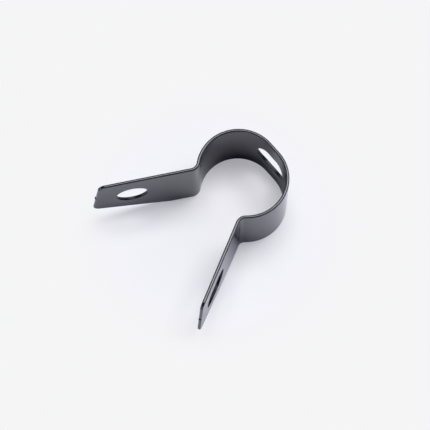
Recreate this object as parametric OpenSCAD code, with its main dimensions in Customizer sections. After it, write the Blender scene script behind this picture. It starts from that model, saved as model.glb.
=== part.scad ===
// Hose clip folded from one flat steel strip. The middle of the strip is an open loop with a slot in a short
// flat, and a fold on each side leads to an ear with a fixing hole. It stands on the strip's lower edge.

/* [Strip] */
// Thickness of the strip
strip_t = 0.7; // [0.5:0.05:1.2]
// Width of the strip, which is the height of the clip as it stands
strip_w = 17; // [14:0.5:22]
// Rounding of the strip's edges
edge_r = 0.22; // [0.05:0.01:0.24]

/* [Loop] */
// Inside diameter of the loop's two arcs
loop_d = 16; // [12:0.5:24]
// Straight length between the two arcs
flat_len = 2.6; // [1:0.1:6]
// Turn of each arc, from the flat to the run before the fold
arc_sweep = 128.5; // [115:0.5:142]

/* [Ears] */
// Straight run between an arc and its fold
fold_run = 0.5; // [0.2:0.1:2]
// Inside radius of the fold between the loop and an ear
fold_r = 1.45; // [0.8:0.05:3]
// Angle between an ear and the clip's middle plane
ear_spread = 28; // [15:1:45]
// Length of an ear along its middle, from the fold to its end
ear_len = 20.3; // [18:0.1:26]
// Distance from the fold to where an ear's lower edge starts to rise
taper_start = 4.8; // [2:0.1:7]
// Rise of an ear's lower edge
taper_angle = 16; // [4:1:20]
// Lean of an ear's end from square, with its lower corner further out
end_lean = 9; // [0:1:15]
// Radius of an ear's corners
corner_r = 1.5; // [0.5:0.1:3]

/* [Holes] */
// Diameter of the fixing hole and width of both slots
hole_d = 6.5; // [5:0.1:7.5]
// Length of both slots
slot_len = 8.5; // [8:0.1:10]
// Distance from the fold to the middle of an ear's hole or slot
hole_from_fold = 12.65; // [11:0.05:13.5]

/* [Parting nib] */
// Radius of the ridge left where each ear's end was parted
nib_r = 0.3; // [0.1:0.05:0.6]
// Height of that ridge above the end
nib_proud = 0.15; // [0.05:0.01:0.3]

/* [Hidden] */
$fn = 96;
through = 4;
steel_black = "#2b2c31";

// Where two pieces run on smoothly, one of them reaches this far into the other, a hair below its surface.
lap = 0.1;
lap_below = 0.01;

// The strip's middle surface: radii of an arc and of a fold, and half of the flat.
arc_mid_r = loop_d / 2 + strip_t / 2;
fold_mid_r = fold_r + strip_t / 2;
half_flat = flat_len / 2;

// The fold turns back what the arc turned past square, and the ear's spread.
fold_sweep = arc_sweep - 90 + ear_spread;

// The ear's outline, along the ear and up from the lower edge, and the headings of its edges.
taper_slope = tan(taper_angle);
end_slope = tan(end_lean);
function middle(along) = (strip_w + (along - taper_start) * taper_slope) / 2;
low_v = taper_slope * (ear_len - taper_start + end_slope * middle(ear_len)) / (1 + taper_slope * end_slope);
low_corner = [taper_start + low_v / taper_slope, low_v];
top_corner = [ear_len - (strip_w - middle(ear_len)) * end_slope, strip_w];
kink = [taper_start, 0];
headings = [0, end_lean - 90, taper_angle - 180, -180];

// The ear's outline drawn a given depth inside its edges, from its root's upper end around to its lower end.
function outward(heading) = [-sin(heading), cos(heading)];
function corner_inside(corner, before, after, depth) =
    corner - depth * (outward(before) + outward(after)) / (1 + cos(before - after));
function outline_inside(depth) = [
    [0, strip_w - depth],
    corner_inside(top_corner, headings[0], headings[1], depth),
    corner_inside(low_corner, headings[1], headings[2], depth),
    corner_inside(kink, headings[2], headings[3], depth),
    [0, depth]
];
rim_path = outline_inside(corner_r);
rim_inner = corner_r / 6;

// Cross-section of the strip, standing on its lower edge, with four rounded edges. It can be drawn a little smaller.
module strip_section(inset = 0) {
    side = strip_t / 2 - inset;
    top = strip_w - inset;
    polygon([
        [-side, inset + edge_r], [edge_r - side, inset], [side - edge_r, inset], [side, inset + edge_r],
        [side, top - edge_r], [side - edge_r, top], [edge_r - side, top], [-side, top - edge_r]
    ]);
    for (x = [edge_r - side, side - edge_r], y = [inset + edge_r, top - edge_r])
        translate([x, y]) circle(edge_r);
}

// Cross-section of an ear's rim out to its rounded edge, measured from the line of the corners' centres.
module rim_section(inner, inset = 0) {
    side = strip_t / 2;
    outer = corner_r - inset;
    polygon([
        [inner, -side], [outer - edge_r, -side], [outer, edge_r - side],
        [outer, side - edge_r], [outer - edge_r, side], [inner, side]
    ]);
    for (y = [edge_r - side, side - edge_r])
        translate([outer - edge_r, y]) circle(edge_r);
}

// A hole of the given length with round ends, flat on the plane.
module oblong(length) {
    straight = length - hole_d;
    square([straight, hole_d], center = true);
    for (x = [-straight / 2, straight / 2])
        translate([x, 0]) circle(d = hole_d);
}

// One ear laid flat, with its root on the Y axis: a core, a rounded rim along each edge, and a round at each corner.
module ear_blank() {
    linear_extrude(strip_t, center = true) polygon(outline_inside(corner_r - 2 * rim_inner));
    for (i = [0 : 3]) {
        run = norm(rim_path[i + 1] - rim_path[i]);
        translate(rim_path[i]) rotate([0, 0, headings[i]]) rotate([90, 0, 90])
            linear_extrude(run) rim_section(rim_inner);
    }
    lap_turn = lap / corner_r * 180 / PI;
    for (i = [1 : 3])
        translate(rim_path[i]) rotate([0, 0, headings[i] + 90 - lap_turn])
            rotate_extrude(angle = headings[i - 1] - headings[i] + 2 * lap_turn) rim_section(0, lap_below);
    nib_at = [ear_len, middle(ear_len)] - (nib_r - nib_proud) * outward(headings[1]);
    translate(nib_at) linear_extrude(strip_t - edge_r, center = true) circle(nib_r);
}

// An ear with its hole, which is round or runs along the ear's middle.
module ear(slotted) {
    difference() {
        ear_blank();
        translate([hole_from_fold, middle(hole_from_fold)])
            if (slotted)
                rotate([0, 0, taper_angle / 2]) linear_extrude(through, center = true) oblong(slot_len);
            else
                linear_extrude(through, center = true) circle(d = hole_d);
    }
}

// One side of the clip, each piece carried on from the end of the last: an arc of the loop, a straight run,
// the fold that turns back, and the ear.
module side(slotted) {
    translate([0, half_flat]) {
        rotate_extrude(angle = arc_sweep) translate([arc_mid_r, 0]) strip_section();
        rotate([0, 0, arc_sweep]) translate([arc_mid_r, fold_run]) {
            translate([0, lap]) rotate([90, 0, 0])
                linear_extrude(fold_run + 2 * lap) strip_section(inset = lap_below);
            translate([fold_mid_r, 0]) rotate([0, 0, 180 - fold_sweep]) {
                rotate_extrude(angle = fold_sweep) translate([fold_mid_r, 0]) strip_section();
                translate([fold_mid_r, 0]) rotate([90, 0, -90]) ear(slotted);
            }
        }
    }
}

// The whole strip: the flat, both sides, and the slot through the middle of the loop.
module hose_clip() {
    color(steel_black) difference() {
        union() {
            translate([arc_mid_r, half_flat]) rotate([90, 0, 0]) linear_extrude(flat_len) strip_section();
            side(slotted = false);
            mirror([0, 1, 0]) side(slotted = true);
        }
        translate([arc_mid_r, 0, strip_w / 2]) rotate([90, 0, 90])
            linear_extrude(through, center = true) oblong(slot_len);
    }
}

hose_clip();
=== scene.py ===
import math

import bmesh
import bpy
from mathutils import Matrix, Vector


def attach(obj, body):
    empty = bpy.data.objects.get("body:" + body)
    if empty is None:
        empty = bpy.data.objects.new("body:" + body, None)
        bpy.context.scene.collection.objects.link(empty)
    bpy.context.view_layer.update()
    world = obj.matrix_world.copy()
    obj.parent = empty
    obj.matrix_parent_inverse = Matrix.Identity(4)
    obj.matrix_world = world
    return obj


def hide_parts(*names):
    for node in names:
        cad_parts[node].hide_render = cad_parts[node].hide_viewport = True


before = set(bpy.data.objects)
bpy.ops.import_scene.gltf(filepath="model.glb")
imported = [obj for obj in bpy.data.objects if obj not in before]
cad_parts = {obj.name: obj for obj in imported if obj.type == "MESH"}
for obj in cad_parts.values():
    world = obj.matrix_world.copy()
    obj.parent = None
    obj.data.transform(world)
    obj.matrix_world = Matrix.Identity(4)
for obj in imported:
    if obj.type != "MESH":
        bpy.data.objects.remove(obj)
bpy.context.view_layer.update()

# The flat blank: one strip of thin steel sheet, stamped out with an ear at each end. An ear's lower edge
# rises from a kink, its end leans, and its corners are rounded. It is drawn flat, with X along the strip.
mm = 0.001
strip_wide, strip_thick = 17 * mm, 0.7 * mm
half_flat = 1.3 * mm
arc_mid, arc_turn = 8.35 * mm, math.radians(128.5)
run_long = 0.5 * mm
fold_mid, ear_spread = 1.8 * mm, math.radians(28)
ear_long, taper_from = 20.3 * mm, 4.8 * mm
taper, end_lean = math.radians(16), math.radians(9)
corner_reach, corner_steps = 1.3 * mm, 12
fold_turn = arc_turn - math.pi / 2 + ear_spread
arc_end = half_flat + arc_mid * arc_turn
fold_start = arc_end + run_long
ear_root = fold_start + fold_mid * fold_turn
rise, lean = math.tan(taper), math.tan(end_lean)


def ear_middle(along):
    """Half-way height of an ear, at a distance from its root."""
    return (strip_wide + (along - taper_from) * rise) / 2


def round_off(geom, reach, steps, affect="EDGES"):
    """Rounds edges or corners of the strip, starting that far from them."""
    bmesh.ops.bevel(bm, geom=geom, offset=reach, segments=steps, profile=0.5, affect=affect, material=-1)


end_middle = ear_middle(ear_long)
low_height = rise * (ear_long - taper_from + lean * end_middle) / (1 + rise * lean)
kink = (ear_root + taper_from, 0)
low_corner = (ear_root + taper_from + low_height / rise, low_height)
top_corner = (ear_root + ear_long - (strip_wide - end_middle) * lean, strip_wide)
half_outline = [kink, low_corner, top_corner]
outline = half_outline + [(-x, z) for x, z in reversed(half_outline)]
bm = bmesh.new()
bm.faces.new([bm.verts.new((x, 0, z)) for x, z in outline])
ear_corners = [v for v in bm.verts if v.co.z > 0]
round_off(ear_corners, corner_reach, corner_steps, affect="VERTICES")

# The holes: an oblong slot across the loop's flat, a round hole in one ear and an oblong slot in the other,
# all punched through the flat blank. Each is cut as a wider opening and closed in by a ring of even faces.
hole_r, slot_half = 3.25 * mm, 1 * mm
hole_from_root = 12.65 * mm
ring_wide, half_turn_steps = 0.45 * mm, 28
cut_snap = 0.0001 * mm
on_wall, on_opening = 1, 2
punched = bm.verts.layers.int.new("punched")


def verts_in(geom):
    """The vertices among what an operator gives back."""
    return [g for g in geom if isinstance(g, bmesh.types.BMVert)]


def cut_across(place, heading):
    """Cuts the whole blank at a place, square to a heading, and gives the edges along the cut."""
    everything = bm.verts[:] + bm.edges[:] + bm.faces[:]
    cut = bmesh.ops.bisect_plane(bm, geom=everything, plane_co=place, plane_no=heading, dist=cut_snap)
    return [g for g in cut["geom_cut"] if isinstance(g, bmesh.types.BMEdge)]


def punch(centre, tilt, half_straight):
    """Punches a hole with round ends and straight sides between them, tilted from the strip's direction."""
    along = Vector((math.cos(tilt), 0, math.sin(tilt)))
    across = Vector((-math.sin(tilt), 0, math.cos(tilt)))
    opening_r = hole_r + ring_wide
    turns = [math.pi * (k + 0.5) / half_turn_steps for k in range(half_turn_steps // 2)] + [math.pi / 2]
    columns = [(-half_straight - opening_r * math.cos(t), opening_r * math.sin(t)) for t in turns]
    columns += [(-x, high) for x, high in reversed(columns if half_straight else columns[:-1])]
    for x, high in columns:
        foot = centre + along * x
        ends = verts_in(bmesh.ops.bisect_edges(bm, edges=cut_across(foot, along), cuts=2)["geom_split"])
        ends.sort(key=lambda v: v.co.dot(across))
        for v, side in zip(ends, (-1, 1)):
            v.co = foot + across * (side * high)
            v[punched] = on_opening
    bmesh.ops.connect_verts(bm, verts=[v for v in bm.verts if v[punched] == on_opening])
    inside = [f for f in bm.faces if all(v[punched] == on_opening for v in f.verts)]
    bmesh.ops.delete(bm, geom=inside, context="FACES")
    border = [e for e in bm.edges if e.is_boundary and all(v[punched] == on_opening for v in e.verts)]
    ring = bmesh.ops.extrude_edge_only(bm, edges=border)["geom"]
    for v in bm.verts:
        if v[punched] == on_opening:
            v[punched] = 0
    for v in verts_in(ring):
        spine = centre + along * max(-half_straight, min(half_straight, (v.co - centre).dot(along)))
        v.co = spine + (v.co - spine) * (hole_r / opening_r)
        v[punched] = on_wall


ear_hole = Vector((ear_root + hole_from_root, 0, ear_middle(hole_from_root)))
punch(Vector((0, 0, strip_wide / 2)), 0, slot_half)
punch(ear_hole, taper / 2, 0)
punch(Vector((-ear_hole.x, 0, ear_hole.z)), -taper / 2, slot_half)

# The strip's thickness and edges: the blank is cut across where it will bend, and gets its thickness. Its
# rim, which shearing and coating leave softly rounded, is rounded more widely than the punched holes.
rim_round, rim_round_steps = 0.31 * mm, 6
hole_round, hole_round_steps = 0.15 * mm, 5
arc_steps, fold_steps = 72, 20
sharp_from = math.radians(70)
flat_from = 0.97
slot_reach = slot_half + hole_r + 2 * ring_wide
bend_cuts = [slot_reach + (arc_end - slot_reach) * k / arc_steps for k in range(arc_steps + 1)]
bend_cuts += [fold_start + (ear_root - fold_start) * k / fold_steps for k in range(fold_steps + 1)]
for x in bend_cuts:
    for side in (-1, 1):
        cut_across((side * x, 0, 0), (1, 0, 0))
bmesh.ops.translate(bm, verts=bm.verts, vec=(0, -strip_thick / 2, 0))
raised = bmesh.ops.extrude_face_region(bm, geom=bm.faces[:])["geom"]
bmesh.ops.translate(bm, verts=verts_in(raised), vec=(0, strip_thick, 0))
bmesh.ops.recalc_face_normals(bm, faces=bm.faces)
sharp = [e for e in bm.edges if e.calc_face_angle(0) > sharp_from]
hole_rims = [e for e in sharp if all(v[punched] for v in e.verts)]
strip_rims = [e for e in sharp if not any(v[punched] for v in e.verts)]
round_off(hole_rims, hole_round, hole_round_steps)
round_off([e for e in strip_rims if e.is_valid], rim_round, rim_round_steps)
punched_wall = bm.faces.layers.float.new("punched_wall")
for f in bm.faces:
    f[punched_wall] = float(abs(f.normal.y) < flat_from and all(v[punched] for v in f.verts))

# The parting nibs: a low ridge at mid-height of each ear's end, left in the steel where the blank was
# parted from the next one. Each is a short rod through the strip's thickness, sunk into the end.
nib_r, nib_long, nib_sunk = 0.3 * mm, 0.62 * mm, 0.15 * mm
nib_sides = 24
nib_round, nib_round_steps = 0.1 * mm, 4
through_sheet = Matrix.Rotation(math.pi / 2, 4, "X")
for side in (-1, 1):
    end_at = Vector((side * (ear_root + ear_long), 0, end_middle))
    inward = Vector((-side * math.cos(end_lean), 0, -math.sin(end_lean)))
    nib = bmesh.ops.create_cone(
        bm, cap_ends=True, segments=nib_sides, radius1=nib_r, radius2=nib_r, depth=nib_long,
        matrix=Matrix.Translation(end_at + inward * nib_sunk) @ through_sheet,
    )["verts"]
    nib_edges = dict.fromkeys(e for v in nib for e in v.link_edges)
    nib_rims = [e for e in nib_edges if any(len(f.verts) == nib_sides for f in e.link_faces)]
    round_off(nib_rims, nib_round, nib_round_steps)


# The bends: the flat blank is wrapped into the loop's two arcs and turned back at a fold on each side, so
# that the ears spread apart. The flat strip's normals turn with it, which keeps long reflections even.
def headings(turn):
    """Directions out of the strip and on along it, seen from above, where it has turned that far."""
    return Vector((math.cos(turn), math.sin(turn))), Vector((-math.sin(turn), math.cos(turn)))


def bent(along, out):
    """Place from above, and turn, of what lies that far along the flat strip and out from its middle."""
    arc_centre = Vector((0, half_flat))
    if along < half_flat:
        return Vector((arc_mid + out, along)), 0
    if along < arc_end:
        turn = (along - half_flat) / arc_mid
        return arc_centre + headings(turn)[0] * (arc_mid + out), turn
    outward, ahead = headings(arc_turn)
    run_start = arc_centre + outward * arc_mid
    if along < fold_start:
        return run_start + ahead * (along - arc_end) + outward * out, arc_turn
    fold_centre = run_start + ahead * run_long + outward * fold_mid
    turn = arc_turn - min((along - fold_start) / fold_mid, fold_turn)
    outward, ahead = headings(turn)
    return fold_centre - outward * (fold_mid - out) + ahead * max(0, along - ear_root), turn


for v in bm.verts:
    v.normal = sum((f.normal * f.calc_area() for f in v.link_faces), Vector()).normalized()
normals = []
for v in bm.verts:
    side = math.copysign(1, v.co.x)
    place, turn = bent(abs(v.co.x), v.co.y)
    facing = Vector((v.normal.y, side * v.normal.x, v.normal.z))
    facing.rotate(Matrix.Rotation(turn, 3, "Z"))
    normals.append((facing.x, side * facing.y, facing.z))
    v.co = (place.x, side * place.y, v.co.z)
bmesh.ops.reverse_faces(bm, faces=bm.faces)
for f in bm.faces:
    f.smooth = True
clip_mesh = bpy.data.meshes.new("hose_clip")
bm.to_mesh(clip_mesh)
bm.free()
clip_mesh.normals_split_custom_set_from_vertices(normals)
clip = bpy.data.objects.new("folded_strip", clip_mesh)
bpy.context.collection.objects.link(clip)
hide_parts("hose_clip")
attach(clip, "root")

# The coating: a smooth black dip coating over the steel, glossy, with a faint ripple and a slightly uneven
# tone where it flowed. On the walls of the punched holes it lies over torn metal and is duller.
deep_black, pale_black = (0.003, 0.003, 0.006), (0.006, 0.006, 0.01)
coat_ior, coat_mirror = 1.5, 0.5
smoothest, roughest = 0.05, 0.08
wall_rougher, wall_mirrors_less = 0.27, 0.3
ripple_scale, ripple_detail = 900, 3
ripple_share, ripple_deep = 0.4, 0.02 * mm


def colour_mix(nodes, first, second):
    """A node that goes from one colour to another as its factor rises."""
    mix = nodes.new("ShaderNodeMix")
    mix.data_type = "RGBA"
    mix.inputs["A"].default_value = (*first, 1)
    mix.inputs["B"].default_value = (*second, 1)
    return mix


def change_over(nodes, start, end, first, second, course="LINEAR"):
    """A node that goes from one value to another as its input goes from start to end."""
    ramp = nodes.new("ShaderNodeMapRange")
    ramp.interpolation_type = course
    ramp.inputs["From Min"].default_value = start
    ramp.inputs["From Max"].default_value = end
    ramp.inputs["To Min"].default_value = first
    ramp.inputs["To Max"].default_value = second
    return ramp


coat = bpy.data.materials.new("black_coating")
coat.use_nodes = True
nodes, links = coat.node_tree.nodes, coat.node_tree.links
shader = nodes["Principled BSDF"]
shader.inputs["IOR"].default_value = coat_ior
where = nodes.new("ShaderNodeTexCoord")
ripple = nodes.new("ShaderNodeTexNoise")
ripple.inputs["Scale"].default_value = ripple_scale
ripple.inputs["Detail"].default_value = ripple_detail
tone = colour_mix(nodes, deep_black, pale_black)
gloss = change_over(nodes, 0, 1, smoothest, roughest)
wall = nodes.new("ShaderNodeAttribute")
wall.attribute_name = "punched_wall"
dulled = nodes.new("ShaderNodeMath")
dulled.operation = "MULTIPLY_ADD"
dulled.inputs[1].default_value = wall_rougher
thinned = nodes.new("ShaderNodeMath")
thinned.operation = "MULTIPLY_ADD"
thinned.inputs[1].default_value = -wall_mirrors_less
thinned.inputs[2].default_value = coat_mirror
bump = nodes.new("ShaderNodeBump")
bump.inputs["Strength"].default_value = ripple_share
bump.inputs["Distance"].default_value = ripple_deep
links.new(where.outputs["Object"], ripple.inputs["Vector"])
links.new(ripple.outputs["Fac"], tone.inputs["Factor"])
links.new(tone.outputs["Result"], shader.inputs["Base Color"])
links.new(ripple.outputs["Fac"], gloss.inputs["Value"])
links.new(wall.outputs["Fac"], dulled.inputs[0])
links.new(gloss.outputs["Result"], dulled.inputs[2])
links.new(dulled.outputs["Value"], shader.inputs["Roughness"])
links.new(wall.outputs["Fac"], thinned.inputs[0])
links.new(thinned.outputs["Value"], shader.inputs["Specular IOR Level"])
links.new(ripple.outputs["Fac"], bump.inputs["Height"])
links.new(bump.outputs["Normal"], shader.inputs["Normal"])
clip_mesh.materials.append(coat)

# The table: a plain pale sheet that the clip stands on. To the camera, and mirrored from far off, it has an
# even tone: a good third of it by the clip, so that the shadow stays light, and all of it further out.
# By the clip this tone is painted cooler, a painted blue tint in the shade there. Close by, the clip
# mirrors the shaded sheet itself, in a colour painted slightly cooler than the camera sees: a painted cool
# reflection.
table_half = 3
# The sheet's colour in reflections is painted cooler: a painted cool tint that stands in for the cool light
# in the shade.
sheet_colour, sheet_painted_cool_in_reflection = (0.907, 0.907, 0.92), (0.885, 0.885, 0.965)
# The tone by the clip is painted cooler than the tone further out: a painted blue tint in the shade around
# the clip.
even_painted_cool_by_clip, even_far_out = (0.886, 0.886, 0.955), (0.913, 0.913, 0.922)
even_share = 0.36
clip_middle = (-8 * mm, 0, 0)
zone_start, zone_end = 12 * mm, 32 * mm
mirror_near, mirror_far = 20 * mm, 60 * mm
table_bm = bmesh.new()
bmesh.ops.create_grid(table_bm, x_segments=1, y_segments=1, size=table_half)
table_mesh = bpy.data.meshes.new("table")
table_bm.to_mesh(table_mesh)
table_bm.free()
table = bpy.data.objects.new("table", table_mesh)
bpy.context.collection.objects.link(table)
sheet = bpy.data.materials.new("pale_sheet")
sheet.use_nodes = True
nodes, links = sheet.node_tree.nodes, sheet.node_tree.links
nodes.remove(nodes["Principled BSDF"])
matt = nodes.new("ShaderNodeBsdfDiffuse")
cooler = colour_mix(nodes, sheet_colour, sheet_painted_cool_in_reflection)
even = nodes.new("ShaderNodeEmission")
ray = nodes.new("ShaderNodeLightPath")
far_off = change_over(nodes, mirror_near, mirror_far, 0, 1)
mirrored = nodes.new("ShaderNodeMath")
mirrored.operation = "MULTIPLY"
seen = nodes.new("ShaderNodeMath")
seen.operation = "MAXIMUM"
spot = nodes.new("ShaderNodeTexCoord")
out_from = nodes.new("ShaderNodeVectorMath")
out_from.operation = "DISTANCE"
out_from.inputs[1].default_value = clip_middle
zone = change_over(nodes, zone_start, zone_end, 0, 1, "SMOOTHSTEP")
tint = colour_mix(nodes, even_painted_cool_by_clip, even_far_out)
taking_over = change_over(nodes, 0, 1, even_share, 1)
share = nodes.new("ShaderNodeMath")
share.operation = "MULTIPLY"
blend = nodes.new("ShaderNodeMixShader")
links.new(ray.outputs["Is Glossy Ray"], cooler.inputs["Factor"])
links.new(cooler.outputs["Result"], matt.inputs["Color"])
links.new(ray.outputs["Ray Length"], far_off.inputs["Value"])
links.new(ray.outputs["Is Glossy Ray"], mirrored.inputs[0])
links.new(far_off.outputs["Result"], mirrored.inputs[1])
links.new(ray.outputs["Is Camera Ray"], seen.inputs[0])
links.new(mirrored.outputs["Value"], seen.inputs[1])
links.new(spot.outputs["Object"], out_from.inputs[0])
links.new(out_from.outputs["Value"], zone.inputs["Value"])
links.new(zone.outputs["Result"], tint.inputs["Factor"])
links.new(tint.outputs["Result"], even.inputs["Color"])
links.new(zone.outputs["Result"], taking_over.inputs["Value"])
links.new(seen.outputs["Value"], share.inputs[0])
links.new(taking_over.outputs["Result"], share.inputs[1])
links.new(share.outputs["Value"], blend.inputs["Fac"])
links.new(matt.outputs["BSDF"], blend.inputs[1])
links.new(even.outputs["Emission"], blend.inputs[2])
links.new(blend.outputs["Shader"], nodes["Material Output"].inputs["Surface"])
table_mesh.materials.append(sheet)

# The light: one wide softbox high above the clip, behind it and to the right, in a room whose pale walls
# reach a quarter of the way up. Together they light a level surface at a strength of about one.
view_turn, view_high = math.radians(39.9), math.radians(72.376)
box_tilt, box_turn, box_far = math.radians(15.5), math.radians(52), 2.5
box_wide, box_deep, box_power = 1.88, 1, 61
box_colour, wall_colour = (0.99, 0.988, 1.005), (0.9, 0.905, 1.14)
wall_strength, wall_fades_from, wall_ends = 3.5, 0.15, 0.35
right = Vector((math.cos(view_turn), -math.sin(view_turn), 0))
away = Vector((math.sin(view_turn), math.cos(view_turn), 0))
sideways = right * math.cos(box_turn) + away * math.sin(box_turn)
box_way = sideways * math.sin(box_tilt) + Vector((0, 0, math.cos(box_tilt)))
box_across = (right - box_way * right.dot(box_way)).normalized()
box_axes = Matrix((box_across, box_way.cross(box_across), box_way)).transposed().to_4x4()
softbox = bpy.data.objects.new("softbox", bpy.data.lights.new("softbox", "AREA"))
softbox.data.shape = "RECTANGLE"
softbox.data.size = box_wide
softbox.data.size_y = box_deep
softbox.data.energy = box_power
softbox.data.color = box_colour
softbox.matrix_world = Matrix.Translation(box_way * box_far) @ box_axes
bpy.context.collection.objects.link(softbox)
room = bpy.data.worlds.new("room")
room.use_nodes = True
nodes, links = room.node_tree.nodes, room.node_tree.links
nodes["Background"].inputs["Color"].default_value = (*wall_colour, 1)
look = nodes.new("ShaderNodeTexCoord")
split = nodes.new("ShaderNodeSeparateXYZ")
walls = change_over(nodes, wall_fades_from, wall_ends, wall_strength, 0, "SMOOTHSTEP")
links.new(look.outputs["Generated"], split.inputs["Vector"])
links.new(split.outputs["Z"], walls.inputs["Value"])
links.new(walls.outputs["Result"], nodes["Background"].inputs["Strength"])
bpy.context.scene.world = room

# The camera: high above the ears, looking down on the clip as the photograph does. Its place and its lens
# come from a camera that was fitted to the photograph.
sensor_wide, lens_long = 36, 155.92
view_far, left_of_middle, below_middle = 396.2 * mm, 5.67 * mm, 3.43 * mm
ahead = away * math.cos(view_high) - Vector((0, 0, math.sin(view_high)))
up = away * math.sin(view_high) + Vector((0, 0, math.cos(view_high)))
camera = bpy.data.objects.new("camera", bpy.data.cameras.new("camera"))
camera.data.sensor_width = sensor_wide
camera.data.lens = lens_long
stand = ahead * -view_far - right * left_of_middle - up * below_middle
turned = Matrix((right, up, -ahead)).transposed().to_4x4()
camera.matrix_world = Matrix.Translation(stand) @ turned
bpy.context.collection.objects.link(camera)
bpy.context.scene.camera = camera
bpy.context.scene.view_settings.view_transform = "Standard"
